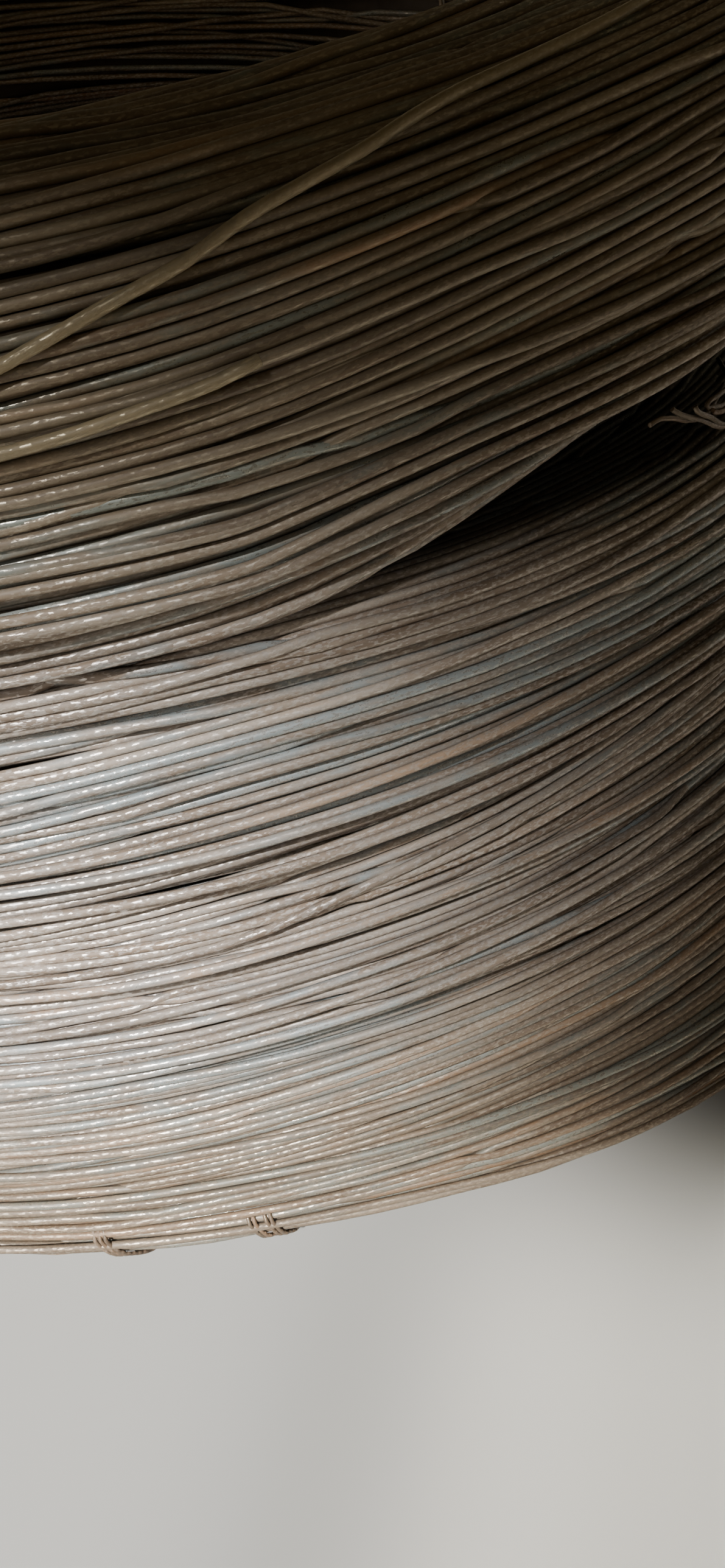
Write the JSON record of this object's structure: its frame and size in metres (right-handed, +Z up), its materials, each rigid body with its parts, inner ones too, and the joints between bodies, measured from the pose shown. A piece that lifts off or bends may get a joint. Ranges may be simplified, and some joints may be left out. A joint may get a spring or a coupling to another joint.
{
  "type": "coil of binding wire",
  "caption": "Coil of soft annealed steel tying wire, wound in two bundles of turns and held by wire ties, lying flat on its base with an open eye.",
  "frame": {"origin": "centre of the coil's footprint, on the level surface that it lies on", "axes": "+Z up along the coil's axis; the two bundles of turns part at the front right, widest at an azimuth of about -25 degrees from +X, and the pictured side faces -Y"},
  "size_m": [0.3742, 0.3742, 0.2],
  "materials": {
    "wire": "matt, lightly rusted brown with blue-grey mill scale showing",
    "tie_wire": "matt, lightly rusted tan"
  },
  "bodies": {
    "root": {"coil": "wire", "tie_1": "tie_wire", "tie_2": "tie_wire", "tie_3": "tie_wire", "lower_tie_1": "tie_wire", "lower_tie_2": "tie_wire", "lower_tie_3": "tie_wire", "gap_tie": "tie_wire"}
  },
  "joints": []
}
